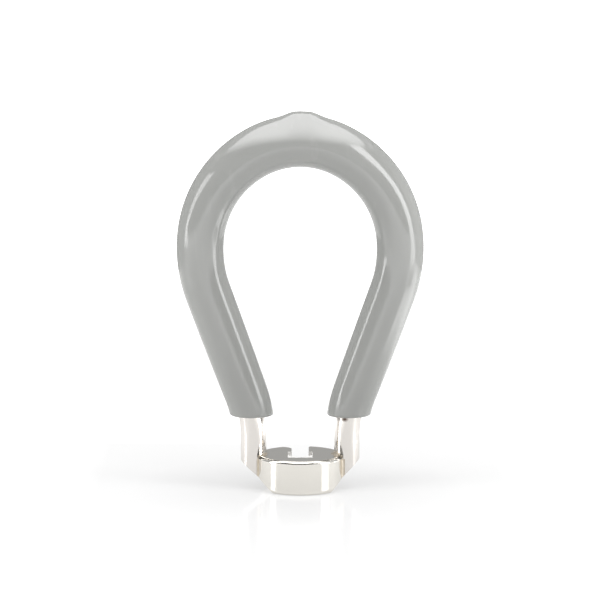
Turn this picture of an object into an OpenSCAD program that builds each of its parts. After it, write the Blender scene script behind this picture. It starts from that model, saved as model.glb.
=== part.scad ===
// Spoke wrench: a round bar bent into a finger loop, with a round nipple jaw brazed between its feet
// and a thick dipped coat round the loop. Millimetres, +Z up from the jaw's flat underside,
// +X across the loop, and the jaw's slot opens towards +Y.

/* [Overall] */
// Height from the jaw's underside to the top of the drip nub
overall_h = 78.5; // [76:0.1:86]

/* [Bar] */
// Diameter of the round bar
bar_dia = 5.3; // [4.6:0.1:6]
// Depth that each leg is milled out for the jaw
leg_mill_d = 2; // [1.6:0.1:2.6]
// Height of the straight legs, from the jaw's underside to where they bend outwards
leg_h = 10.4; // [9:0.1:13]
// Turn of the crown to each side of its middle, degrees
crown_turn = 27; // [20:1:34]
// Radius of the crown, as a share of the radius at the loop's sides
crown_share = 0.9; // [0.85:0.01:1]
// Turn of each side, degrees
side_turn = 58; // [50:1:64]
// Radius of the shoulders under the sides, as a share of the radius at the sides
shoulder_share = 1.26; // [1.1:0.01:1.4]
// Slope of the straight flanks, from upright, degrees
flank_slope = 20; // [18:0.5:23]
// Radius of the bend from each flank into its leg
leg_bend_r = 30; // [24:1:34]

/* [Jaw] */
// Diameter of the round jaw
jaw_dia = 18.1; // [17.4:0.1:19]
// Height of the jaw
jaw_h = 7.2; // [6.4:0.1:8.4]
// Rounding of the jaw's top edge
jaw_top_r = 0.7; // [0.3:0.1:1]
// Rounding of the jaw's bottom edge
jaw_foot_r = 0.9; // [0.4:0.1:1.2]
// Width of the nipple across its flats
nipple_flats = 3.45; // [3.2:0.05:3.6]
// Clearance between the nipple's flats and the jaw
nipple_clearance = 0.06; // [0.02:0.01:0.15]
// Length of the seat's straight sides
seat_side_l = 3.8; // [3.4:0.1:4.4]
// Distance from the jaw's middle forward to the front end of those sides
seat_forward = 1.7; // [1.3:0.1:2.2]
// Radius in the bottom of the seat's vee
seat_vee_r = 0.35; // [0.1:0.05:0.6]
// Rounding of the slot's mouth on the left
mouth_left_r = 2.4; // [1:0.1:3.4]
// Rounding of the slot's mouth on the right
mouth_right_r = 1.3; // [0.6:0.1:3.4]
// Height of the slope ground off the left foot
left_slope_h = 6; // [5:0.1:7]
// Width of that slope
left_slope_w = 6.9; // [5.6:0.1:7.2]
// Height of the slope ground off the right foot
right_slope_h = 6.4; // [5:0.1:7]
// Width of that slope
right_slope_w = 6.2; // [5.6:0.1:7.2]

/* [Braze] */
// Thickness of the braze between the jaw and a leg
braze_gap = 0.1; // [0.05:0.01:0.2]
// Radius of the left joint's fillets
left_fillet_r = 0.35; // [0.3:0.05:1]
// Radius of the right joint's fillets
right_fillet_r = 0.7; // [0.3:0.05:1]

/* [Grip] */
// Thickness of the coat on the bar
coat_t = 2.15; // [1.6:0.05:2.4]
// Extra thickness that ran to the outside of the crown
coat_swell = 1.25; // [0:0.05:1.5]
// Length along the loop in which that extra falls to half
swell_l = 15.5; // [10:0.5:24]
// Thickness that the coat's outside loses by its ends
coat_thinning = 0.45; // [0:0.05:0.6]
// Height of the coat's ends above the jaw's underside
coat_end_h = 15.4; // [13:0.1:18]
// Reach of the keel's flanks over the crown, as a share of the coat's half depth; a circle has 0.707
keel_flank_share = 0.55; // [0.53:0.01:0.7]
// Rounding of the keel's ridge, as a share of the coat's half depth
keel_ridge_share = 0.12; // [0.05:0.01:0.3]
// Length along the loop in which the keel has faded by half
keel_l = 15; // [10:0.5:24]
// Rounding of the coat's lips at its ends
coat_lip_r = 0.45; // [0.3:0.05:1]
// Gap between coat and bar, taken up by the primer
primer_gap = 0.05; // [0.03:0.01:0.1]
// Height of the drip nub
nub_h = 0.7; // [0.3:0.05:1.2]
// Length of the nub's flat top along the loop
nub_top_l = 2.2; // [1.5:0.1:4]
// Length of the nub's foot along the loop
nub_foot_l = 9.4; // [6:0.1:11]
// Distance of the nub's middle to the right of the crown's
nub_offset = 0.35; // [0:0.05:0.8]

/* [Hidden] */
$fn = 96;

// Overrun of every cut past the face that it leaves by
cut_over = 1;
// Relief all round the slimmer runs of the bar, and their reach into the runs beside them
run_relief = 0.005;
run_overlap = 0.2;

// The bar's middle line, walked from the middle of the crown down to the right foot.
// A run is [signed radius, length]; radius 0 is straight, and a negative one bends outwards.
function arc_l(radius, turn) = radius * turn * PI / 180;
function run_turn(run, dist) = run[0] == 0 ? 0 : dist / run[0] * 180 / PI;
// A place is [x, z, heading], where heading 0 runs along +X and 90 runs straight down
function ahead(at, run, dist) =
    let (turn = run_turn(run, dist), heading = at[2] + turn)
    run[0] == 0
        ? [at[0] + dist * cos(heading), at[1] - dist * sin(heading), heading]
        : [at[0] + run[0] * (sin(heading) - sin(at[2])),
           at[1] + run[0] * (cos(heading) - cos(at[2])),
           heading];
function walk(runs, dist, at, i = 0) =
    i == len(runs) - 1 || dist <= runs[i][1]
        ? ahead(at, runs[i], dist)
        : walk(runs, dist - runs[i][1], ahead(at, runs[i], runs[i][1]), i + 1);
function total_l(runs, i = 0) = i == len(runs) ? 0 : runs[i][1] + total_l(runs, i + 1);

bar_r = bar_dia / 2;
leg_x = jaw_dia / 2 - leg_mill_d + bar_r;
crown_z = overall_h - nub_h - coat_swell - coat_t - bar_r;
crown_start = [0, crown_z, 0];
shoulder_turn = 90 + flank_slope - crown_turn - side_turn;

// Width and drop of one half of the loop's arcs, for a radius of one at its sides
unit_runs = [[crown_share, arc_l(crown_share, crown_turn)],
             [1, arc_l(1, side_turn)],
             [shoulder_share, arc_l(shoulder_share, shoulder_turn)]];
unit_end = walk(unit_runs, total_l(unit_runs), [0, 0, 0]);
// The loop is as large as it takes for its flanks to meet the bends over the legs
bend_top_x = leg_x + leg_bend_r * (1 - cos(flank_slope));
bend_top_z = leg_h + leg_bend_r * sin(flank_slope);
side_r = (crown_z - bend_top_z + bend_top_x / tan(flank_slope))
    / (unit_end[0] / tan(flank_slope) - unit_end[1]);
crown_r = crown_share * side_r;
shoulder_r = shoulder_share * side_r;
arc_runs = [[crown_r, arc_l(crown_r, crown_turn)],
            [side_r, arc_l(side_r, side_turn)],
            [shoulder_r, arc_l(shoulder_r, shoulder_turn)]];
shoulder_l = total_l(arc_runs);
shoulder_end = walk(arc_runs, shoulder_l, crown_start);
flank_l = (shoulder_end[0] - bend_top_x) / sin(flank_slope);
bend_runs = concat(arc_runs, [[0, flank_l], [-leg_bend_r, arc_l(leg_bend_r, flank_slope)]]);
bend_end_l = total_l(bend_runs);
loop_runs = concat(bend_runs, [[0, leg_h]]);

jaw_r = jaw_dia / 2;
slot_w = nipple_flats + nipple_clearance;
seat_w = slot_w * sqrt(2);
vee_y = -seat_forward - seat_w / 2;

// The coat ends level, where the middle line passes its end height
end_rise = coat_end_h - leg_h;
end_slope = end_rise > 0 ? asin(end_rise / leg_bend_r) : 0;
end_l = bend_end_l - (end_rise > 0 ? arc_l(leg_bend_r, end_slope) : end_rise);
thinning_start = arc_runs[0][1] + arc_runs[1][1];
flank_end_l = shoulder_l + flank_l;
nub_half_l = nub_foot_l / 2;
// Rings along half of the coat, in the nub, the arcs, the flank, the bend and the lip
nub_rings = 6;
arc_rings = 20;
flank_rings = 5;
bend_rings = 2;
lip_rings = 3;
// Points in a quarter of each ring
quarter_points = 7;

// Every other run of the bar is a hair slimmer and reaches a little way into its neighbours,
// so that one skin ends inside the next
function is_slim(i) = i % 2 == 0;

module bar_section(slim = false) {
    circle(slim ? bar_r - run_relief : bar_r);
}

// Turns its children about a line along Y that lies this radius below
module turned(radius, turn) {
    translate([0, 0, -radius])
        rotate([0, turn, 0])
            translate([0, 0, radius])
                children();
}

// Bar bent downwards about a line along Y at the given radius, from heading +X
module bent_bar(radius, turn, slim) {
    reach_turn = slim ? run_turn([radius], run_overlap) : 0;
    turned(radius, -reach_turn)
        translate([0, 0, -radius])
            rotate([-90, 0, 0])
                rotate([0, 0, -90])
                    rotate_extrude(angle = turn + 2 * reach_turn)
                        translate([radius, 0])
                            bar_section(slim);
}

module straight_bar(length, slim) {
    reach = slim ? run_overlap : 0;
    translate([-reach, 0, 0])
        rotate([0, 90, 0])
            linear_extrude(length + 2 * reach)
                bar_section(slim);
}

// Lays the runs one after another, each from where the last one ended
module bar_runs(i) {
    if (i < len(loop_runs)) {
        radius = loop_runs[i][0];
        length = loop_runs[i][1];
        turn = run_turn(loop_runs[i], length);
        if (radius == 0) {
            straight_bar(length, is_slim(i));
            translate([length, 0, 0])
                bar_runs(i + 1);
        } else {
            mirror([0, 0, radius < 0 ? 1 : 0])
                bent_bar(abs(radius), abs(turn), is_slim(i));
            turned(radius, turn)
                bar_runs(i + 1);
        }
    }
}

// The whole bar: one bend over the crown, and the runs down from each of its ends
module loop_bar() {
    translate([0, 0, crown_z]) {
        turned(crown_r, -crown_turn)
            bent_bar(crown_r, 2 * crown_turn, is_slim(0));
        both_sides()
            turned(crown_r, crown_turn)
                bar_runs(1);
    }
}

module both_sides() {
    children();
    mirror([1, 0, 0])
        children();
}

// Wedge below the slope of a foot on the right
module foot_slope(width, height) {
    reach_share = 0.3;
    low_x = leg_x + bar_r - width * (1 + reach_share);
    high_x = leg_x + bar_r + width * reach_share;
    low_z = -height * reach_share;
    high_z = height * (1 + reach_share);
    rotate([90, 0, 0])
        linear_extrude(jaw_dia + 2 * cut_over, center = true)
            polygon([[low_x, low_z], [high_x, low_z], [high_x, high_z]]);
}

module foot_slopes() {
    foot_slope(right_slope_w, right_slope_h);
    mirror([1, 0, 0])
        foot_slope(left_slope_w, left_slope_h);
}

// Round pocket that the feet are milled out to, wider than the jaw by the braze
module jaw_pocket() {
    translate([0, 0, -cut_over])
        cylinder(r = jaw_r + braze_gap, h = jaw_h + braze_gap + cut_over);
}

module frame_bar() {
    color("#d9d5cf")
        difference() {
            loop_bar();
            jaw_pocket();
            foot_slopes();
        }
}

// Round jaw before its slot is cut, with rounded rims
module jaw_blank() {
    rotate_extrude() {
        square([jaw_r - jaw_foot_r, jaw_h / 2]);
        translate([0, jaw_h / 2])
            square([jaw_r - jaw_top_r, jaw_h / 2]);
        translate([0, jaw_foot_r])
            square([jaw_r, jaw_h - jaw_foot_r - jaw_top_r]);
        translate([jaw_r - jaw_foot_r, jaw_foot_r])
            circle(jaw_foot_r);
        translate([jaw_r - jaw_top_r, jaw_h - jaw_top_r])
            circle(jaw_top_r);
    }
}

// What rounding the slot's right-hand mouth takes away, tangent to the slot and to the jaw's rim
module mouth_rounding(radius) {
    centre_x = slot_w / 2 + radius;
    centre_y = sqrt(pow(jaw_r - radius, 2) - pow(centre_x, 2));
    rim_share = (jaw_r + cut_over) / (jaw_r - radius);
    difference() {
        polygon([[0, centre_y],
                 [centre_x, centre_y],
                 [centre_x * rim_share, centre_y * rim_share],
                 [centre_x * rim_share, jaw_r + cut_over],
                 [0, jaw_r + cut_over]]);
        translate([centre_x, centre_y])
            circle(radius);
    }
}

// Outline of the slot and seat: the spoke comes in from the back, the nipple's corner
// beds in the vee at the front, and its side corners turn in the wider seat
module slot_outline() {
    translate([-slot_w / 2, -seat_forward])
        square([slot_w, jaw_r + seat_forward + cut_over]);
    translate([-seat_w / 2, -seat_forward])
        square([seat_w, seat_side_l]);
    polygon([[-seat_w / 2, -seat_forward],
             [-seat_vee_r / sqrt(2), vee_y + seat_vee_r / sqrt(2)],
             [seat_vee_r / sqrt(2), vee_y + seat_vee_r / sqrt(2)],
             [seat_w / 2, -seat_forward]]);
    translate([0, vee_y + seat_vee_r * sqrt(2)])
        circle(seat_vee_r);
    mouth_rounding(mouth_right_r);
    mirror([1, 0])
        mouth_rounding(mouth_left_r);
}

module jaw_block() {
    color("#cfccc6")
        difference() {
            jaw_blank();
            translate([0, 0, -cut_over])
                linear_extrude(jaw_h + 2 * cut_over)
                    slot_outline();
            foot_slopes();
        }
}

// Where a round skin about the jaw's middle crosses one about the right leg's, in front
function crossing(jaw_reach, bar_reach) =
    let (x = (pow(leg_x, 2) + pow(jaw_reach, 2) - pow(bar_reach, 2)) / (2 * leg_x))
    [x, -sqrt(pow(jaw_reach, 2) - pow(x, 2))];

// Section of the upright fillet in front of a joint on the right, hollow, touching leg and jaw
module upright_fillet(radius) {
    leg_middle = [leg_x, 0];
    fillet_middle = crossing(jaw_r + radius, bar_r + radius);
    difference() {
        polygon([crossing(jaw_r, bar_r),
                 fillet_middle * jaw_r / (jaw_r + radius),
                 fillet_middle,
                 leg_middle + (fillet_middle - leg_middle) * bar_r / (bar_r + radius)]);
        translate(fillet_middle)
            circle(radius);
        translate(leg_middle)
            circle(bar_r);
    }
}

// Hollow fillet round the foot of a leg on the right, where it stands on the jaw's flat top
module ledge_fillet(radius) {
    flat_r = jaw_r - jaw_top_r;
    turn = acos((pow(leg_x, 2) + pow(bar_r, 2) - pow(flat_r, 2)) / (2 * leg_x * bar_r));
    translate([leg_x, 0, jaw_h])
        rotate([0, 0, 180 - turn])
            rotate_extrude(angle = 2 * turn)
                difference() {
                    translate([bar_r, 0])
                        square(radius);
                    translate([bar_r + radius, radius])
                        circle(radius);
                }
}

// Braze of a joint on the right: the film that fills the pocket round the jaw, and its fillets
module braze(radius) {
    color("#c2a878")
        difference() {
            union() {
                intersection() {
                    translate([leg_x, 0, 0])
                        linear_extrude(jaw_h + braze_gap)
                            bar_section();
                    jaw_pocket();
                }
                linear_extrude(jaw_h - jaw_top_r) {
                    upright_fillet(radius);
                    mirror([0, 1])
                        upright_fillet(radius);
                }
                ledge_fillet(radius);
            }
            jaw_blank();
            children();
        }
}

module left_braze() {
    mirror([1, 0, 0])
        braze(left_fillet_r)
            foot_slope(left_slope_w, left_slope_h);
}

module right_braze() {
    braze(right_fillet_r)
        foot_slope(right_slope_w, right_slope_h);
}

// Thickness that has run off the coat's outside at a distance along the loop from its crown
function thinned(dist) =
    coat_thinning * pow(max(0, (abs(dist) - thinning_start) / (end_l - thinning_start)), 3);
// The inside and the faces lose this share of it
inner_thinning_share = 0.5;
function swell(dist) = coat_swell / (1 + pow(dist / swell_l, 2));
// Height share of the nub at a distance along the loop: flat on top, with hollow flanks
function nub_share(dist) =
    let (run = nub_foot_l - 2 * abs(dist - nub_offset),
         rise = min(1, max(0, run / (nub_foot_l - nub_top_l))))
    pow(rise, 3) * (4 - 3 * rise);
// Share of the keel that is left at a distance along the loop
function keel_share(dist) = 1 / (1 + pow(dist / keel_l, 4));

// A rounded figure of one size: its points' share of the way back at a turn, and how far it
// stands out there. The power follows from its flanks' reach, and the ridge rounds its top.
function flank_power(flank_share) = ln(0.5) / ln(flank_share);
function back_share(turn, power) = sign(sin(turn)) * pow(abs(sin(turn)), 2 / power);
function out_share(back, power, ridge) =
    let (round_share = (norm([back, ridge]) - ridge) / (norm([1, ridge]) - ridge))
    pow(max(0, 1 - pow(round_share, power)), 1 / power);
ring_turns = [for (i = [0:4 * quarter_points - 1]) 90 * i / quarter_points];
circle_flank_share = cos(45);

// Outline of the coat's skin at a ring, [outwards, back] points drawn in by the lip's rounding
function skin_outline(ring) =
    let (dist = ring[0],
         draw_in = ring[1],
         keel = keel_share(dist),
         keel_power = flank_power(circle_flank_share - (circle_flank_share - keel_flank_share) * keel),
         side = bar_r + coat_t - inner_thinning_share * thinned(dist) - draw_in,
         outer = bar_r + coat_t + swell(dist) - thinned(dist) - draw_in)
    [for (turn = ring_turns)
        let (is_outer = cos(turn) > 0,
             power = is_outer ? keel_power : flank_power(circle_flank_share),
             back = back_share(turn, power),
             out = out_share(back, power, is_outer ? keel_ridge_share * keel : 0))
        [is_outer ? out * outer + pow(out, 3) * nub_h * nub_share(dist) : -out * side,
         back * side]];
bore_outline = [for (turn = ring_turns) (bar_r + primer_gap) * [cos(turn), sin(turn)]];

// Place of a ring, with the left half mirrored, and the ring's own heading, which levels
// out towards the end of the coat
function ring_place(dist) =
    let (at = walk(loop_runs, abs(dist), crown_start))
    dist < 0 ? [-at[0], at[1], -at[2]] : at;
function ring_heading(dist) =
    abs(dist) <= flank_end_l
        ? ring_place(dist)[2]
        : sign(dist) * (90 + flank_slope * (end_l - abs(dist)) / (end_l - flank_end_l));
function ring_points(outline, dist) =
    let (at = ring_place(dist),
         heading = ring_heading(dist),
         mitre = 1 / cos(heading - at[2]))
    [for (point = outline)
        [at[0] + point[0] * mitre * sin(heading),
         point[1],
         at[1] + point[0] * mitre * cos(heading)]];

// Rings from the crown to the right end: [distance along the loop, lip draw-in]
half_rings = concat(
    [for (i = [0:nub_rings - 1]) [nub_half_l * i / nub_rings, 0]],
    [for (i = [0:arc_rings - 1]) [nub_half_l + (shoulder_l - nub_half_l) * i / arc_rings, 0]],
    [for (i = [0:flank_rings - 1]) [shoulder_l + flank_l * i / flank_rings, 0]],
    [for (i = [0:bend_rings - 1])
        [flank_end_l + (end_l - coat_lip_r - flank_end_l) * i / bend_rings, 0]],
    [for (i = [0:lip_rings])
        let (turn = 90 * i / lip_rings)
        [end_l - coat_lip_r * (1 - sin(turn)), coat_lip_r * (1 - cos(turn))]]);
coat_rings = concat([for (i = [len(half_rings) - 1:-1:1]) [-half_rings[i][0], half_rings[i][1]]],
                    half_rings);

// Both triangles of a four-cornered facet
function facet(a, b, c, d) = [[a, b, c], [a, c, d]];

module grip() {
    sides = len(bore_outline);
    last = len(coat_rings) - 1;
    bore_start = sides * len(coat_rings);
    skin = [for (ring = coat_rings) each ring_points(skin_outline(ring), ring[0])];
    bore = [for (ring = coat_rings) each ring_points(bore_outline, ring[0])];
    tube_facets = [for (j = [0:last - 1], i = [0:sides - 1])
        let (near = j * sides + i,
             next = j * sides + (i + 1) % sides)
        each concat(facet(near, next, next + sides, near + sides),
                    facet(bore_start + near + sides, bore_start + next + sides,
                          bore_start + next, bore_start + near))];
    end_facets = [for (i = [0:sides - 1])
        let (next = (i + 1) % sides,
             far = last * sides)
        each concat(facet(bore_start + i, bore_start + next, next, i),
                    facet(far + i, far + next, bore_start + far + next, bore_start + far + i))];
    color("#a9aaa7")
        polyhedron(concat(skin, bore), concat(tube_facets, end_facets));
}

frame_bar();
jaw_block();
left_braze();
right_braze();
grip();
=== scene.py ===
import math

import bpy
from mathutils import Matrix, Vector


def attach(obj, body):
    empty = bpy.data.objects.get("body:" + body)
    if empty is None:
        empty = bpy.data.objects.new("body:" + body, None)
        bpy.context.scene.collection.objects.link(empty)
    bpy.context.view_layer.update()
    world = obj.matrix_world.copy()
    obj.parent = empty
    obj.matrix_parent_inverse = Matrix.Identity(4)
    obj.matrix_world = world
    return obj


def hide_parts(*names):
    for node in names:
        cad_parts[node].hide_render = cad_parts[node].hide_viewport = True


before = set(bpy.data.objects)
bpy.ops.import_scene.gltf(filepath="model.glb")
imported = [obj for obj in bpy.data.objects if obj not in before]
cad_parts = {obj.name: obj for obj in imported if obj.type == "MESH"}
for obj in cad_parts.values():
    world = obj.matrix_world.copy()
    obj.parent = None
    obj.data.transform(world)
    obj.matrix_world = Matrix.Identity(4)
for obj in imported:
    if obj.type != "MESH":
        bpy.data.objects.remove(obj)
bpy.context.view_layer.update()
mm = 0.001


class Wire:
    # a socket that can be used in plain sums
    def __init__(self, board, socket):
        self.board = board
        self.socket = socket

    def pick(self, name):
        return Wire(self.board, self.socket.node.outputs[name])

    def math(self, operation, *values):
        return self.board.add("ShaderNodeMath", {"operation": operation}, values)

    def __add__(self, other):
        return self.math("ADD", self, other)

    def __radd__(self, other):
        return self.math("ADD", other, self)

    def __sub__(self, other):
        return self.math("SUBTRACT", self, other)

    def __rsub__(self, other):
        return self.math("SUBTRACT", other, self)

    def __mul__(self, other):
        return self.math("MULTIPLY", self, other)

    def __rmul__(self, other):
        return self.math("MULTIPLY", other, self)

    def __truediv__(self, other):
        return self.math("DIVIDE", self, other)

    def __rtruediv__(self, other):
        return self.math("DIVIDE", other, self)

    def __pow__(self, other):
        return self.math("POWER", self, other)

    def __gt__(self, other):
        return self.math("GREATER_THAN", self, other)

    def __lt__(self, other):
        return self.math("LESS_THAN", self, other)

    def __abs__(self):
        return self.math("ABSOLUTE", self)

    def clamped(self):
        return self.math("MAXIMUM", self.math("MINIMUM", self, 1.0), 0.0)

    def rise(self, start, width):
        return ((self - start) / width).clamped()

    def fall(self, end, width):
        return ((end - self) / width).clamped()


class Board:
    # a node tree and the one way of adding nodes to it
    def __init__(self, tree):
        self.tree = tree

    def add(self, kind, settings=None, values=(), out=0):
        node = self.tree.nodes.new(kind)
        for name, value in (settings or {}).items():
            setattr(node, name, value)
        pairs = values.items() if isinstance(values, dict) else enumerate(values)
        for key, value in pairs:
            if isinstance(value, Wire):
                self.tree.links.new(value.socket, node.inputs[key])
            else:
                node.inputs[key].default_value = value
        return Wire(self, node.outputs[out]) if len(node.outputs) else node

    def mixColour(self, factor, first, second, blend="MIX"):
        return self.add("ShaderNodeMix", {"data_type": "RGBA", "blend_type": blend},
                        {0: factor, 6: first, 7: second}, out=2)

    def vector(self, operation, *values):
        out = 1 if operation in ("LENGTH", "DOT_PRODUCT", "DISTANCE") else 0
        return self.add("ShaderNodeVectorMath", {"operation": operation}, values, out)

    def scaled(self, vector, amount):
        return self.add("ShaderNodeVectorMath", {"operation": "SCALE"}, {0: vector, "Scale": amount})

    def joined(self, x, y, z):
        return self.add("ShaderNodeCombineXYZ", {}, [x, y, z])

    def split(self, vector):
        return self.add("ShaderNodeSeparateXYZ", {}, [vector])

    def here(self):
        return self.add("ShaderNodeTexCoord", out="Object")

    def noise(self, where, scale, detail):
        return self.add("ShaderNodeTexNoise", {}, {"Vector": where, "Scale": scale, "Detail": detail})


# the bar's middle line, by the same rules as the solid's
loop = {
    "overallHeight": 78.5,
    "barDiameter": 5.3,
    "jawDiameter": 18.1,
    "legMillDepth": 2.0,
    "legHeight": 10.4,
    "crownTurn": 27.0,
    "crownShare": 0.9,
    "sideTurn": 58.0,
    "shoulderShare": 1.26,
    "flankSlope": 20.0,
    "legBendRadius": 30.0,
    "coatEndHeight": 15.4,
}
coat = {
    "thickness": 2.15,
    "swell": 1.25,
    "swellLength": 15.5,
    "thinning": 0.45,
    "keelFlankShare": 0.55,  # reach of the keel's flanks; a circle has 0.707
    "keelRidge": 0.12,
    "keelLength": 15.0,
    "lipRadius": 0.45,
    "nubHeight": 0.7,
    "nubTop": 2.2,
    "nubFoot": 9.4,
    "nubOffset": 0.35,
    "waviness": 0.02,
    "rippleScale": 0.16,
    "bodyShare": 0.94,  # of each half: up to here the body, then the lip, then the end face
    "lipShare": 0.975,
    "boreTuck": 0.03,  # how far the bore lies inside the bar's skin
    "weld": 0.002,
    "lineSteps": 600,
    "along": 360,
    "around": 96,
    "boreAlong": 160,
}


def stepAlong(at, radius, length):
    x, z, heading = at
    if radius == 0:
        return (x + length * math.cos(heading), z - length * math.sin(heading), heading)
    turned = heading + length / radius
    return (x + radius * (math.sin(turned) - math.sin(heading)),
            z + radius * (math.cos(turned) - math.cos(heading)), turned)


def loopRuns():
    crown, side, slope = (math.radians(loop[k]) for k in ("crownTurn", "sideTurn", "flankSlope"))
    shoulder = math.pi / 2 + slope - crown - side
    turns = ((loop["crownShare"], crown), (1.0, side), (loop["shoulderShare"], shoulder))
    barRadius, bendRadius = loop["barDiameter"] / 2, loop["legBendRadius"]
    coatTop = coat["nubHeight"] + coat["swell"] + coat["thickness"]
    crownHeight = loop["overallHeight"] - coatTop - barRadius
    legMiddle = loop["jawDiameter"] / 2 - loop["legMillDepth"] + barRadius
    bendTopX = legMiddle + bendRadius * (1 - math.cos(slope))
    bendTopZ = loop["legHeight"] + bendRadius * math.sin(slope)
    at = (0.0, 0.0, 0.0)
    for share, turn in turns:
        at = stepAlong(at, share, share * turn)
    steep = math.tan(slope)
    sideRadius = (crownHeight - bendTopZ + bendTopX / steep) / (at[0] / steep - at[1])
    flank = (sideRadius * at[0] - bendTopX) / math.sin(slope)
    runs = [(share * sideRadius, share * sideRadius * turn) for share, turn in turns]
    runs += [(0.0, flank), (-bendRadius, bendRadius * slope), (0.0, loop["legHeight"])]
    return crownHeight, runs


def placeAt(crownHeight, runs, distance):
    at = (0.0, crownHeight, 0.0)
    for radius, length in runs:
        if distance <= length:
            return stepAlong(at, radius, distance)
        at = stepAlong(at, radius, length)
        distance -= length
    return at


crownHeight, runs = loopRuns()
flankEnd = sum(length for _, length in runs[:4])
bendRise = loop["coatEndHeight"] - loop["legHeight"]
coatEnd = flankEnd + runs[4][1] - loop["legBendRadius"] * math.asin(bendRise / loop["legBendRadius"])
thinningStart = runs[0][1] + runs[1][1]


# what the coat's node tree is given
coatInputs = {
    "Bar Radius": loop["barDiameter"] / 2,
    "Thickness": coat["thickness"],
    "Swell": coat["swell"],
    "Swell Length": coat["swellLength"],
    "Thinning": coat["thinning"],
    "Thinning Start": thinningStart,
    "Flank End": flankEnd,
    "Coat End": coatEnd,
    "Keel Flank Share": coat["keelFlankShare"],
    "Keel Ridge": coat["keelRidge"],
    "Keel Length": coat["keelLength"],
    "Lip Radius": coat["lipRadius"],
    "Nub Height": coat["nubHeight"],
    "Nub Top": coat["nubTop"] / 2,
    "Nub Foot": coat["nubFoot"] / 2,
    "Nub Offset": coat["nubOffset"],
    "Waviness": coat["waviness"],
}


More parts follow.
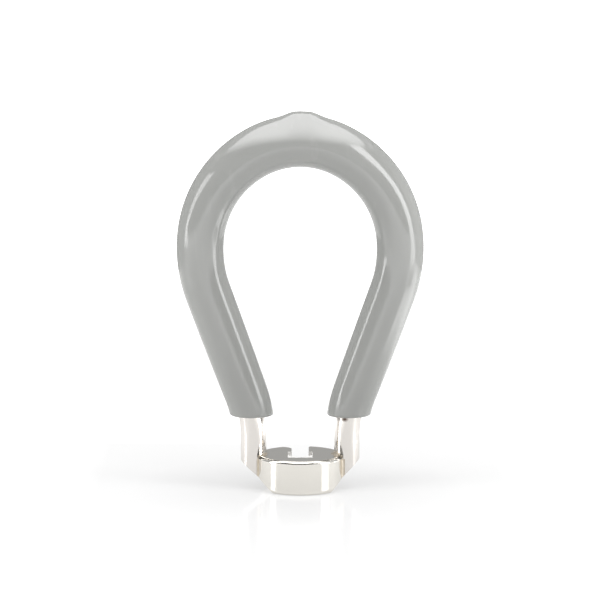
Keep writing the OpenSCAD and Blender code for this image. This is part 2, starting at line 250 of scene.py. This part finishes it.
def makeCoatTree(material, sizes):
    tree = bpy.data.node_groups.new("dippedCoat", "GeometryNodeTree")
    board = Board(tree)
    tree.interface.new_socket("Middle Line", in_out="INPUT", socket_type="NodeSocketGeometry")
    tree.interface.new_socket("Coat", in_out="OUTPUT", socket_type="NodeSocketGeometry")
    for name in sizes:
        tree.interface.new_socket(name, in_out="INPUT", socket_type="NodeSocketFloat")
    entry = board.add("NodeGroupInput")
    size = {name: entry.pick(name) for name in sizes}
    line = board.add("GeometryNodeMeshToCurve", {}, {"Mesh": entry.pick("Middle Line")})

    def sheet(along, around):
        return board.add("GeometryNodeMeshGrid", {}, {"Size X": 2.0, "Size Y": 2.0,
                                                       "Vertices X": along, "Vertices Y": around})

    where = board.split(board.add("GeometryNodeInputPosition"))
    share, turn = where.pick("X"), where.pick("Y") * math.pi
    side = share.math("SIGN", share)
    reach = abs(share)
    bodyShare, lipShare = coat["bodyShare"], coat["lipShare"]
    lipTurn = reach.rise(bodyShare, lipShare - bodyShare) * (math.pi / 2)
    faceShare = reach.rise(lipShare, 1 - lipShare)
    lipSine, lipCosine = lipTurn.math("SINE", lipTurn), lipTurn.math("COSINE", lipTurn)
    lip = size["Lip Radius"]
    distance = (reach / bodyShare).clamped() * (size["Coat End"] - lip) + lip * lipSine
    drawIn = lip * (1 - lipCosine)

    # section of the skin: a rounded figure, fuller to the outside at the crown
    cosine, sine = turn.math("COSINE", turn), turn.math("SINE", turn)
    isOuter = cosine > 0.0
    keelShare = 1 / (1 + (distance / size["Keel Length"]) ** 4.0)
    circleShare = math.sqrt(0.5)
    flankShare = circleShare - (circleShare - size["Keel Flank Share"]) * keelShare * isOuter
    power = math.log(0.5) / flankShare.math("LOGARITHM", flankShare, math.e)
    sideward = sine.math("SIGN", sine) * abs(sine) ** (2 / power)
    ridge = size["Keel Ridge"] * keelShare * isOuter
    rounded = ((sideward * sideward + ridge * ridge) ** 0.5 - ridge) / ((1 + ridge * ridge) ** 0.5 - ridge)
    outward = cosine.math("SIGN", cosine) * (1 - rounded ** power).clamped() ** (1 / power)
    run = distance.rise(size["Thinning Start"], size["Coat End"] - size["Thinning Start"])
    thinned = size["Thinning"] * run ** 3.0
    swellShare = 1 / (1 + (distance / size["Swell Length"]) ** 2.0)
    outer = size["Bar Radius"] + size["Thickness"] + size["Swell"] * swellShare - thinned - drawIn
    sides = size["Bar Radius"] + size["Thickness"] - thinned * 0.5 - drawIn
    skinY = sideward * sides
    nubDistance = abs(side * distance - size["Nub Offset"])
    nubRise = nubDistance.fall(size["Nub Foot"], size["Nub Foot"] - size["Nub Top"])
    nub = size["Nub Height"] * nubRise ** 3.0 * (4 - 3 * nubRise) * outward ** 3.0
    skinX = outward * (outer * isOuter + sides * (1 - isOuter)) + nub * isOuter

    # section of the bore, a hair inside the bar's skin
    boreX = cosine * (size["Bar Radius"] - coat["boreTuck"])
    boreY = sine * (size["Bar Radius"] - coat["boreTuck"])

    def laidOut(mesh, x, y, distance, wavy):
        at = board.add("GeometryNodeSampleCurve", {"mode": "LENGTH", "use_all_curves": True},
                       {"Curves": line, "Length": size["Coat End"] + side * distance})
        tangent = board.split(at.pick("Tangent"))
        square = board.joined(tangent.pick("Z") * -1.0, 0.0, tangent.pick("X"))
        level = distance.rise(size["Flank End"], size["Coat End"] - size["Flank End"])
        leaning = board.add("ShaderNodeMix", {"data_type": "VECTOR"},
                            {0: level, 4: square, 5: board.joined(side, 0.0, 0.0)}, out=1)
        leaning = board.vector("NORMALIZE", leaning)
        mitred = board.scaled(leaning, x / board.vector("DOT_PRODUCT", leaning, square))
        sideways = board.joined(0.0, y, 0.0)
        place = board.vector("ADD", board.vector("ADD", at.pick("Position"), mitred), sideways)
        if wavy:
            sunk = (board.noise(place, coat["rippleScale"], 1.0) - 1.0) * size["Waviness"]
            away = board.vector("NORMALIZE", board.vector("ADD", mitred, sideways))
            place = board.vector("ADD", place, board.scaled(away, sunk))
        return board.add("GeometryNodeSetPosition", {}, {"Geometry": mesh, "Position": place})

    blend = 1 - faceShare
    skin = laidOut(sheet(coat["along"] + 1, coat["around"] + 1),
                   skinX * blend + boreX * faceShare, skinY * blend + boreY * faceShare, distance, True)
    bore = laidOut(sheet(coat["boreAlong"] + 1, coat["around"] + 1),
                   boreX, boreY, reach * size["Coat End"], False)
    bore = board.add("GeometryNodeFlipFaces", {}, {"Mesh": bore})
    both = board.add("GeometryNodeJoinGeometry")
    tree.links.new(skin.socket, both.socket.node.inputs[0])
    tree.links.new(bore.socket, both.socket.node.inputs[0])
    closed = board.add("GeometryNodeMergeByDistance", {}, {"Geometry": both, "Distance": coat["weld"]})
    smooth = board.add("GeometryNodeSetShadeSmooth", {}, {"Geometry": closed})
    sized = board.add("GeometryNodeTransform", {}, {"Geometry": smooth, "Scale": (mm, mm, mm)})
    real = board.add("GeometryNodeRealizeInstances", {}, {"Geometry": sized})
    done = board.add("GeometryNodeSetMaterial", {}, {"Geometry": real, "Material": material})
    board.add("NodeGroupOutput", {}, {"Coat": done})
    return tree


def bakedMesh(name, source):
    graph = bpy.context.evaluated_depsgraph_get()
    mesh = bpy.data.meshes.new_from_object(source.evaluated_get(graph), depsgraph=graph)
    made = bpy.data.objects.new(name, mesh)
    bpy.context.scene.collection.objects.link(made)
    bpy.data.objects.remove(source)
    return made


def makeCoat(material):
    count = coat["lineSteps"]
    points = []
    for i in range(count + 1):
        distance = coatEnd * (2 * i / count - 1)
        x, z, _ = placeAt(crownHeight, runs, abs(distance))
        points.append((math.copysign(x, distance), 0.0, z))
    mesh = bpy.data.meshes.new("middleLine")
    mesh.from_pydata(points, [(i, i + 1) for i in range(count)], [])
    source = bpy.data.objects.new("middleLine", mesh)
    bpy.context.scene.collection.objects.link(source)
    modifier = source.modifiers.new("dippedCoat", "NODES")
    modifier.node_group = makeCoatTree(material, coatInputs)
    for item in modifier.node_group.interface.items_tree:
        if item.name in coatInputs:
            modifier[item.identifier] = float(coatInputs[item.name])
    return bakedMesh("dippedGrip", source)


def newMaterial(name):
    material = bpy.data.materials.new(name)
    material.use_nodes = True
    material.node_tree.nodes.clear()
    return material, Board(material.node_tree)


def finishMaterial(board, values):
    shader = board.add("ShaderNodeBsdfPrincipled", {}, values)
    board.add("ShaderNodeOutputMaterial", {}, {"Surface": shader})


vinyl = {
    "light": (0.212, 0.215, 0.207),
    "dark": (0.196, 0.199, 0.191),
    "cloudScale": 90.0,
    "roughness": 0.07,
    "roughnessSpread": 0.06,
    "peel": 0.05,  # strength of the faint orange peel
    "peelScale": 520.0,
    "peelDepth": 0.2 * mm,
    "scuffs": (380.0, 380.0, 70.0),  # closeness of the rubbed streaks, which run up the wrench
    "scuffFrom": 0.60,
    "scuffSoftness": 0.12,
    "scuffTone": (0.29, 0.29, 0.285),
    "scuffShare": 0.22,
    "scuffRoughness": 0.10,
}


def makeVinyl():
    material, board = newMaterial("greyVinyl")
    here = board.here()
    cloud = board.noise(here, vinyl["cloudScale"], 3.0)
    peel = board.noise(here, vinyl["peelScale"], 2.0)
    streaks = board.noise(board.vector("MULTIPLY", here, vinyl["scuffs"]), 1.0, 5.0)
    scuffs = streaks.rise(vinyl["scuffFrom"], vinyl["scuffSoftness"])
    colour = board.mixColour(cloud, (*vinyl["dark"], 1), (*vinyl["light"], 1))
    colour = board.mixColour(scuffs * vinyl["scuffShare"], colour, (*vinyl["scuffTone"], 1))
    roughness = vinyl["roughness"] + cloud * vinyl["roughnessSpread"] + scuffs * vinyl["scuffRoughness"]
    bump = board.add("ShaderNodeBump", {}, {"Strength": vinyl["peel"], "Distance": vinyl["peelDepth"],
                                            "Height": peel})
    finishMaterial(board, {"Base Color": colour, "Roughness": roughness, "Normal": bump})
    return material


barNickel = {
    "light": (0.79, 0.757, 0.72),
    "dark": (0.745, 0.712, 0.675),
    "roughness": 0.08,
    "roughnessSpread": 0.06,
    "grain": (900.0, 900.0, 40.0),  # fine lines along the bar
    "grainStrength": 0.03,
}
jawNickel = {
    "light": (0.835, 0.81, 0.755),
    "dark": (0.80, 0.775, 0.72),
    "roughness": 0.06,
    "roughnessSpread": 0.05,
    "grain": (60.0, 60.0, 1400.0),  # fine turned rings
    "grainStrength": 0.02,
}
seatMilling = {
    "halfWidth": 2.56 * mm,
    "front": -4.4 * mm,
    "back": 2.15 * mm,
    "slotHalfWidth": 1.80 * mm,
    "colour": (0.80, 0.79, 0.77),
    "roughness": 0.45,
    "metallic": 0.45,
}
# what heat, hands and time left on the plating, and a painted shadow on the right leg under the grip's end
platingWearAndShadow = {
    "cloudScale": 160.0,
    "grainDepth": 0.1 * mm,
    "hazeScale": 420.0,
    "hazeFrom": 0.55,
    "hazeSoftness": 0.2,
    "hazeRoughness": 0.10,
    "heatTint": (0.66, 0.56, 0.42),
    "heatFrom": 7.05 * mm,  # the joints' distance from the middle
    "heatReach": 0.55 * mm,
    "heatTop": 7.6 * mm,
    "heatFront": -3.9 * mm,
    "heatFade": 1.0 * mm,
    "heatPatches": 1.6,
    "heatRoughness": 0.15,
    # painted shadow: a dark patch on the right leg, just under the grip's end
    "gripEndShadow": (0.16, 0.12, 0.10),
    "gripEndShadowPlace": (9.2 * mm, -2.5 * mm, 14.9 * mm),
    "gripEndShadowReach": (0.75 * mm, 2.0 * mm, 0.55 * mm),
    "gripEndShadowEdge": 1.15,
    "gripEndShadowSharpness": 2.0,
    "gripEndShadowEvenness": 0.6,
    "gripEndShadowRoughness": 0.3,
}


def heatOnPlating(board, at, cloud):
    fromJoint = abs(abs(at.pick("X")) - platingWearAndShadow["heatFrom"]) / platingWearAndShadow["heatReach"]
    heat = (1 - fromJoint).clamped() * at.pick("Z").fall(platingWearAndShadow["heatTop"], platingWearAndShadow["heatFade"])
    heat = heat * at.pick("Y").rise(platingWearAndShadow["heatFront"], platingWearAndShadow["heatFade"])
    return heat * (cloud * platingWearAndShadow["heatPatches"]).clamped()


# the painted shadow under the grip's end, made uneven by the haze
def paintedGripEndShadow(board, here, haze):
    spot = board.vector("DIVIDE", board.vector("SUBTRACT", here, platingWearAndShadow["gripEndShadowPlace"]), platingWearAndShadow["gripEndShadowReach"])
    inside = (platingWearAndShadow["gripEndShadowEdge"] - board.vector("LENGTH", spot)) * platingWearAndShadow["gripEndShadowSharpness"]
    return (inside * (haze + platingWearAndShadow["gripEndShadowEvenness"])).clamped()


def platingParts(board, plating):
    here = board.here()
    at = board.split(here)
    cloud = board.noise(here, platingWearAndShadow["cloudScale"], 4.0)
    grain = board.noise(board.vector("MULTIPLY", here, plating["grain"]), 1.0, 3.0)
    haze = board.noise(here, platingWearAndShadow["hazeScale"], 6.0).rise(platingWearAndShadow["hazeFrom"], platingWearAndShadow["hazeSoftness"])
    heat = heatOnPlating(board, at, cloud)
    gripEndShadow = paintedGripEndShadow(board, here, haze)
    colour = board.mixColour(cloud, (*plating["dark"], 1), (*plating["light"], 1))
    colour = board.mixColour(heat, colour, (*platingWearAndShadow["heatTint"], 1))
    # the painted shadow under the grip's end darkens the colour here
    colour = board.mixColour(gripEndShadow, colour, (*platingWearAndShadow["gripEndShadow"], 1))
    roughness = plating["roughness"] + cloud * plating["roughnessSpread"]
    roughness = roughness + haze * platingWearAndShadow["hazeRoughness"]
    roughness = roughness + heat * platingWearAndShadow["heatRoughness"] + gripEndShadow * platingWearAndShadow["gripEndShadowRoughness"]
    bump = board.add("ShaderNodeBump", {}, {"Strength": plating["grainStrength"],
                                            "Distance": platingWearAndShadow["grainDepth"], "Height": grain})
    return at, colour, roughness, bump


def makeBarNickel():
    material, board = newMaterial("barNickel")
    _, colour, roughness, bump = platingParts(board, barNickel)
    finishMaterial(board, {"Base Color": colour, "Metallic": 1.0, "Roughness": roughness, "Normal": bump})
    return material


def makeJawNickel():
    material, board = newMaterial("jawNickel")
    at, colour, roughness, bump = platingParts(board, jawNickel)
    across, along = abs(at.pick("X")), at.pick("Y")
    behindFront = along > seatMilling["front"]
    inSeat = (seatMilling["halfWidth"] > across) * behindFront * (seatMilling["back"] > along)
    inSlot = (seatMilling["slotHalfWidth"] > across) * behindFront
    milled = inSeat.math("MAXIMUM", inSeat, inSlot)
    colour = board.mixColour(milled, colour, (*seatMilling["colour"], 1))
    roughness = roughness + milled * (seatMilling["roughness"] - roughness)
    metallic = 1 - milled * (1 - seatMilling["metallic"])
    finishMaterial(board, {"Base Color": colour, "Metallic": metallic, "Roughness": roughness,
                           "Normal": bump})
    return material


braze = {
    "light": (0.78, 0.72, 0.62),
    "dark": (0.46, 0.39, 0.30),
    "cloudScale": 900.0,
    "roughness": 0.30,
    "roughnessSpread": 0.16,
    "flow": 0.4,  # strength of its flowed unevenness
    "flowDepth": 0.1 * mm,
}


def makeBrazeMetal():
    material, board = newMaterial("flowedBraze")
    cloud = board.noise(board.here(), braze["cloudScale"], 4.0)
    colour = board.mixColour(cloud, (*braze["dark"], 1), (*braze["light"], 1))
    roughness = braze["roughness"] + cloud * braze["roughnessSpread"]
    bump = board.add("ShaderNodeBump", {}, {"Strength": braze["flow"], "Distance": braze["flowDepth"],
                                            "Height": cloud})
    finishMaterial(board, {"Base Color": colour, "Metallic": 1.0, "Roughness": roughness, "Normal": bump})
    return material


vinylMaterial = makeVinyl()
barPlating = makeBarNickel()
jawPlating = makeJawNickel()
brazeMetal = makeBrazeMetal()
print("finishes made")

grip = makeCoat(vinylMaterial)
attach(grip, "root")
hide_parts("grip")
print("coat made:", len(grip.data.polygons), "faces")

for node, material in (("frame_bar", barPlating), ("jaw_block", jawPlating),
                       ("left_braze", brazeMetal), ("right_braze", brazeMetal)):
    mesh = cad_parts[node].data
    mesh.materials.clear()
    mesh.materials.append(material)
print("bar, jaw and braze finished")


def steps(value, stops):
    # a broken line through the stops
    total = stops[0][1]
    for (start, low), (end, high) in zip(stops, stops[1:]):
        total = total + value.rise(start, end - start) * (high - low)
    return total


def flatMesh(name, corners):
    mesh = bpy.data.meshes.new(name)
    mesh.from_pydata(corners, [], [(0, 1, 2, 3)])
    return mesh


def finishGlow(board, glow):
    # for a card that only gives light
    finishMaterial(board, {"Base Color": (0, 0, 0, 1), "Specular IOR Level": 0.0,
                           "Emission Color": board.joined(glow, glow, glow), "Emission Strength": 1.0})


def hangCard(name, mesh, material):
    mesh.materials.append(material)
    card = bpy.data.objects.new(name, mesh)
    card.visible_camera = False
    bpy.context.scene.collection.objects.link(card)


# a white table whose glow is painted: dimmer close round the wrench's foot as a painted shade, brighter
# further out; the lengths are from the wrench's foot
floor = {
    "half": 4.0,
    "white": 0.2,
    "ior": 1.12,
    "roughness": 0.12,
    "glow": ((0.0, 0.53), (0.02, 0.58), (0.035, 0.63), (0.06, 0.65), (0.15, 0.67), (0.26, 1.3), (0.6, 1.8)),
    "frontEnd": 0.1,
    "frontFade": 0.12,
    "backLimit": 2.2,
    "behind": 0.97,  # the least glow behind the wrench
    "behindFrom": 0.015,
    "behindFade": 0.05,
    "sideGlow": 0.14,
    "sideFrom": 0.042,
    "sideFade": 0.014,
    "sheenSlope": 1.035,  # a painted pool of light on the right side of the table, behind a slanting edge
    "sheenStart": 0.029,
    "sheenSoftness": 0.012,
    "sheenEnd": 0.06,
    "sheenFade": 0.04,
    "sheenGlow": ((0.068, 0.0), (0.094, 3.3), (0.17, 2.9), (0.32, 0.0)),
}


def makeFloor():
    half = floor["half"]
    mesh = flatMesh("floor", [(-half, -half, 0), (half, -half, 0), (half, half, 0), (-half, half, 0)])
    table = bpy.data.objects.new("floor", mesh)
    bpy.context.scene.collection.objects.link(table)
    material, board = newMaterial("glowingTable")
    here = board.here()
    spot = board.split(here)
    x, y, distance = spot.pick("X"), spot.pick("Y"), board.vector("LENGTH", here)
    # painted shade: the glow is lowest at the wrench's foot and rises with distance
    glow = steps(distance, floor["glow"])
    backGlow = glow.math("MINIMUM", glow, floor["backLimit"])
    glow = backGlow + y.fall(floor["frontEnd"], floor["frontFade"]) * (glow - backGlow)
    glow = glow.math("MAXIMUM", glow, y.rise(floor["behindFrom"], floor["behindFade"]) * floor["behind"])
    glow = glow + abs(x).rise(floor["sideFrom"], floor["sideFade"]) * floor["sideGlow"]
    edge = x + y * floor["sheenSlope"] - floor["sheenStart"]
    paintedPool = (edge / floor["sheenSoftness"] + 0.5).clamped() * y.fall(floor["sheenEnd"], floor["sheenFade"])
    glow = glow + paintedPool * steps(distance, floor["sheenGlow"])
    finishMaterial(board, {"Base Color": (*[floor["white"]] * 3, 1), "Roughness": floor["roughness"],
                           "IOR": floor["ior"], "Emission Color": board.joined(glow, glow, glow),
                           "Emission Strength": 1.0})
    mesh.materials.append(material)


overhead = {
    "glow": 7.55,
    "height": 0.80,
    "left": -0.62,
    "right": 0.52,
    "back": -0.05,
    "front": -0.49,  # where it has faded to a half
    "frontEdge": -0.7,
    "fade": 0.20,
    "bow": 0.92,  # how much the faded side draws in to the ends
    "endFrom": 0.25,
    "endFade": 0.3,
    "endDrop": 0.35,
}


def makeOverhead():
    left, right, height = overhead["left"], overhead["right"], overhead["height"]
    near, far = overhead["frontEdge"], overhead["back"]
    mesh = flatMesh("overhead", [(left, near, height), (left, far, height),
                                 (right, far, height), (right, near, height)])
    material, board = newMaterial("overheadGlow")
    here = board.split(board.here())
    x, y = here.pick("X"), here.pick("Y")
    front = overhead["front"] + x * x * overhead["bow"]
    body = ((y - front) / overhead["fade"] + 0.5).clamped()
    ends = abs(x).rise(overhead["endFrom"], overhead["endFade"])
    finishGlow(board, overhead["glow"] * body * (1 - overhead["endDrop"] * ends * ends))
    hangCard("overhead", mesh, material)


# two leaning strip lights, by rows of height, azimuth of the middle, width and glow;
# azimuths are in degrees from the camera's side
strips = {
    "left": {"side": -1, "away": 0.30, "rows": (
        (0.002, 77, 31, 1.3), (0.021, 77, 31, 1.7), (0.033, 78, 31, 6.0), (0.055, 84, 27, 8.5),
        (0.075, 86, 24, 8.5), (0.090, 81, 20, 7.7), (0.110, 78, 17, 6.0), (0.160, 74, 18, 6.0),
        (0.200, 72, 18, 6.0), (0.260, 70, 18, 5.0))},
    "right": {"side": 1, "away": 0.13, "rows": (
        (0.002, 68, 23, 1.4), (0.018, 68, 23, 2.0), (0.030, 67.5, 20, 6.0), (0.046, 66.7, 16, 6.5),
        (0.090, 63, 16, 8.5), (0.144, 57.5, 16, 8.5), (0.195, 55.5, 16, 8.5), (0.235, 55, 16, 8.5))},
}
stripColumns = 5


def makeStrip(name):
    side, away, rows = (strips[name][k] for k in ("side", "away", "rows"))
    points, faces = [], []
    for height, middle, width, _ in rows:
        for i in range(stripColumns):
            azimuth = math.radians(middle + width * (i / (stripColumns - 1) - 0.5))
            points.append((side * away * math.sin(azimuth), -away * math.cos(azimuth), height))
    for row in range(len(rows) - 1):
        for i in range(stripColumns - 1):
            a = row * stripColumns + i
            faces.append((a, a + 1, a + stripColumns + 1, a + stripColumns))
    mesh = bpy.data.meshes.new(name + "Strip")
    mesh.from_pydata(points, [], faces)
    material, board = newMaterial(name + "StripGlow")
    height = board.split(board.here()).pick("Z")
    finishGlow(board, steps(height, [(row[0], row[3]) for row in rows]))
    hangCard(name + "Strip", mesh, material)


# lights that only the matt part of the finishes sees, from below and from the sides
fills = {
    "below": {"place": (0.0, -0.05, 0.003), "aim": (0.0, -0.05, 1.0), "size": (0.5, 0.5), "glow": 0.55},
    "right": {"place": (0.16, 0.06, 0.02), "aim": (0.02, 0.0, 0.04), "size": (0.10, 0.06), "glow": 6.0},
    "left": {"place": (-0.16, -0.08, 0.02), "aim": (-0.02, 0.0, 0.04), "size": (0.10, 0.06), "glow": 8.0},
}


def makeFill(name):
    fill = fills[name]
    place, aim = Vector(fill["place"]), Vector(fill["aim"])
    light = bpy.data.lights.new(name + "Fill", "AREA")
    light.shape = "RECTANGLE"
    light.size, light.size_y = fill["size"]
    light.energy = fill["glow"] * math.pi * light.size * light.size_y
    lamp = bpy.data.objects.new(name + "Fill", light)
    lamp.location = place
    lamp.rotation_euler = (aim - place).to_track_quat("-Z", "Y").to_euler()
    lamp.visible_camera = False
    lamp.visible_glossy = False
    bpy.context.scene.collection.objects.link(lamp)


# grey cards out of the frame, which give the coat's edges their tone
greyCards = {
    "ends": (((-0.26, -0.04), (-0.11, 0.24)), ((0.26, -0.04), (0.11, 0.24))),
    "foot": 0.001,
    "tall": 0.30,
    "tone": 0.30,
    "roughness": 0.9,
}


def makeGreyCards():
    material, board = newMaterial("greyCard")
    finishMaterial(board, {"Base Color": (*[greyCards["tone"]] * 3, 1), "Roughness": greyCards["roughness"]})
    low, high = greyCards["foot"], greyCards["tall"]
    for near, far in greyCards["ends"]:
        mesh = flatMesh("greyCard", [(*near, low), (*far, low), (*far, high), (*near, high)])
        hangCard("greyCard", mesh, material)


room = {
    "front": 0.15,
    "back": 0.41,
    "high": 0.8,  # added high up, behind the overhead
    "highFrom": 0.4,
    "highFade": 0.4,
    "highBack": 0.1,
}


def makeWorld():
    world = bpy.data.worlds.new("studio")
    world.use_nodes = True
    world.node_tree.nodes.clear()
    board = Board(world.node_tree)
    way = board.split(board.add("ShaderNodeTexCoord", out="Generated"))
    back = (way.pick("Y") * 0.5 + 0.5).clamped()
    high = way.pick("Z").rise(room["highFrom"], room["highFade"])
    high = high * way.pick("Y").rise(-room["highBack"], room["highBack"])
    strength = room["front"] + back * (room["back"] - room["front"]) + high * room["high"]
    glow = board.add("ShaderNodeBackground", {}, {"Color": (1, 1, 1, 1), "Strength": strength})
    board.add("ShaderNodeOutputWorld", {}, {"Surface": glow})
    bpy.context.scene.world = world


view = {
    "place": (-0.00004, -0.61369, 0.12461),
    "downTilt": 7.9,
    "lens": 180.0,
    "sensor": 36.0,
    "nearest": 0.01,
    "farthest": 50.0,
}


def makeCamera():
    data = bpy.data.cameras.new("camera")
    data.lens, data.sensor_width = view["lens"], view["sensor"]
    data.clip_start, data.clip_end = view["nearest"], view["farthest"]
    camera = bpy.data.objects.new("camera", data)
    camera.location = view["place"]
    camera.rotation_euler = (math.radians(90 - view["downTilt"]), 0.0, 0.0)
    bpy.context.scene.collection.objects.link(camera)
    bpy.context.scene.camera = camera


makeFloor()
makeOverhead()
for name in strips:
    makeStrip(name)
for name in fills:
    makeFill(name)
makeGreyCards()
makeWorld()
makeCamera()
bpy.context.scene.view_settings.view_transform = "Standard"
print("stage made")
